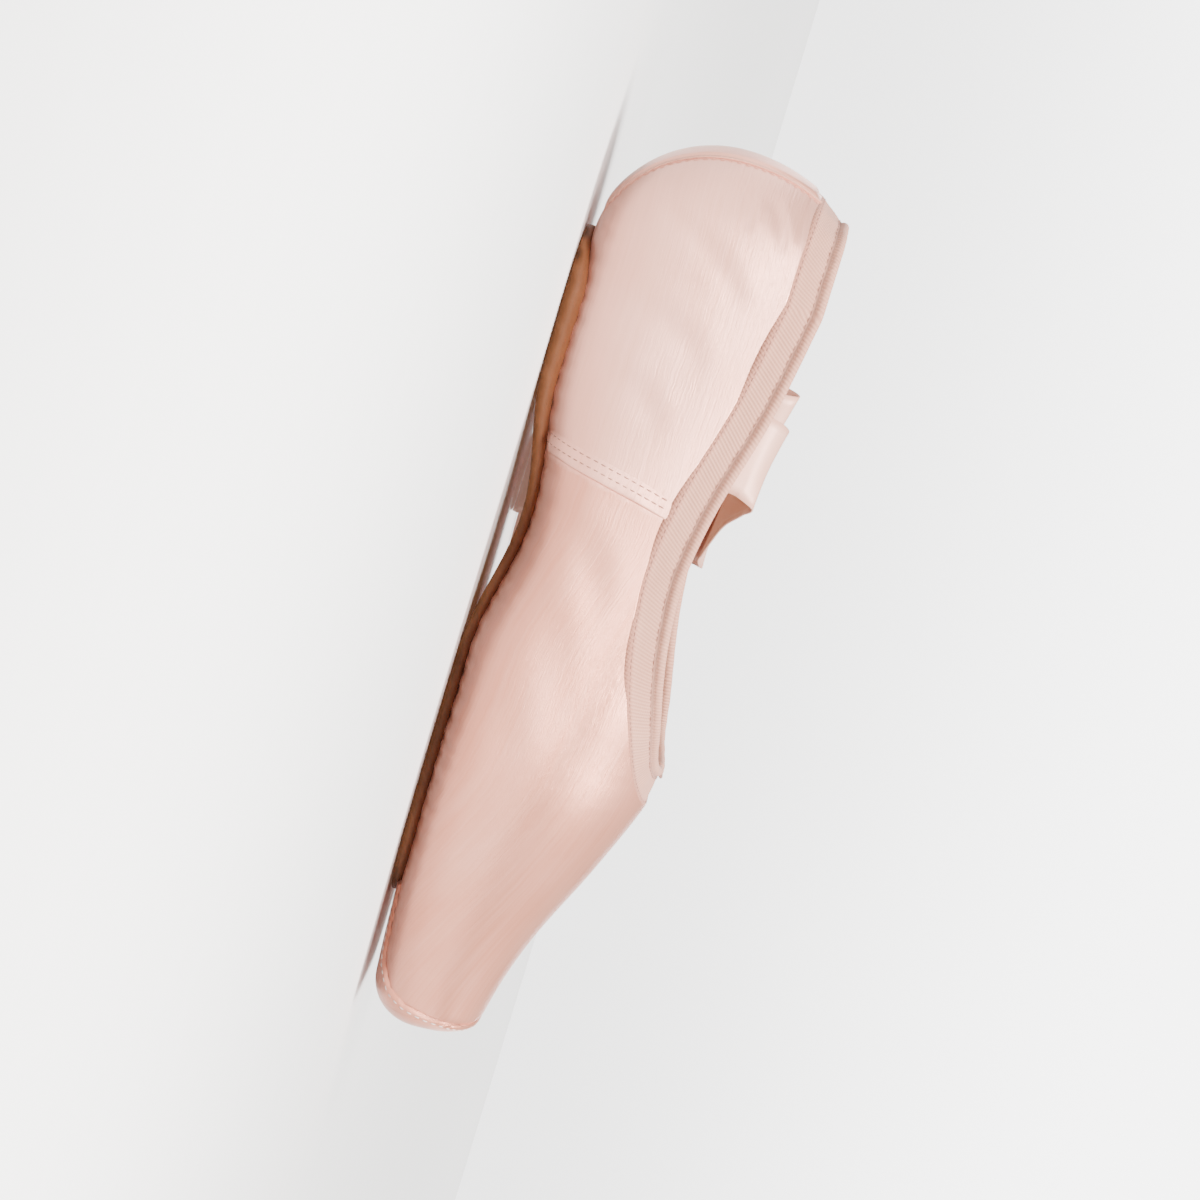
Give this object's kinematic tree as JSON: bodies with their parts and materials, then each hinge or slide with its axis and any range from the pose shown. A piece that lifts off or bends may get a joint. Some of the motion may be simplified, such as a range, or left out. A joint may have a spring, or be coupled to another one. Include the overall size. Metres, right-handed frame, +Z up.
{
  "type": "pointe shoe",
  "caption": "Satin ballet pointe shoe with a stiff toe box, flat platform, leather sole, drawstring collar and two loose ribbons, empty and standing on its sole.",
  "frame": {"origin": "floor level under the middle of the shoe, which stands on its leather sole; the ribbons don't count", "axes": "+X from the heel to the toe, +Z up, +Y to the left of the foot that wears it"},
  "size_m": [0.2766, 0.2499, 0.0653],
  "materials": {
    "satin": "satin, soft sheen",
    "leather": "matte suede",
    "lining": "matte cotton",
    "knit": "matte knit",
    "ribbon": "satin, soft sheen"
  },
  "bodies": {
    "root": {"upper": "satin", "toe_panel": "satin", "heel_strip": "satin", "side_seam_left": "satin", "side_seam_right": "satin", "outsole": "leather", "insole": "lining", "collar_band": "knit", "ribbon_left": "ribbon", "ribbon_right": "ribbon"}
  },
  "joints": []
}
